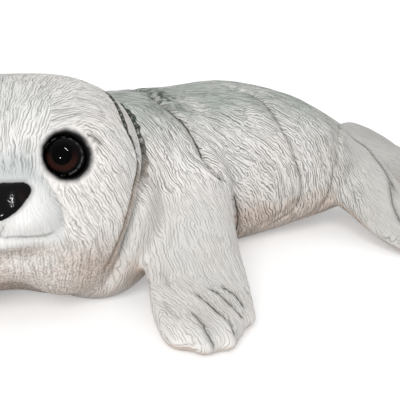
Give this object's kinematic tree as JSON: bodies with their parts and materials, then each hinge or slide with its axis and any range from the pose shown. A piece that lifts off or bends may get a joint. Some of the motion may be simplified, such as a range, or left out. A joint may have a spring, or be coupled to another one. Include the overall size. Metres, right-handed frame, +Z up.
{
  "type": "seal figurine",
  "caption": "Cast resin figurine of a seal pup lying on its belly, its head turned to its left, with carved fur and glossy set-in glass eyes.",
  "frame": {"origin": "on the floor, under the middle of the whole figurine", "axes": "+X towards the tail along the longest extent, -Y towards the pup's left side, to which its head is turned, +Z up"},
  "size_m": [0.2968, 0.2548, 0.0863],
  "materials": {
    "painted_resin": "matt off-white paint with a grey-olive wash in the carved fur, gloss black nose and soft black eye surrounds",
    "eye_glass": "polished, dark brown iris and black pupil under clear glass"
  },
  "bodies": {
    "root": {"body": "painted_resin", "left_eye": "eye_glass", "right_eye": "eye_glass"}
  },
  "joints": []
}
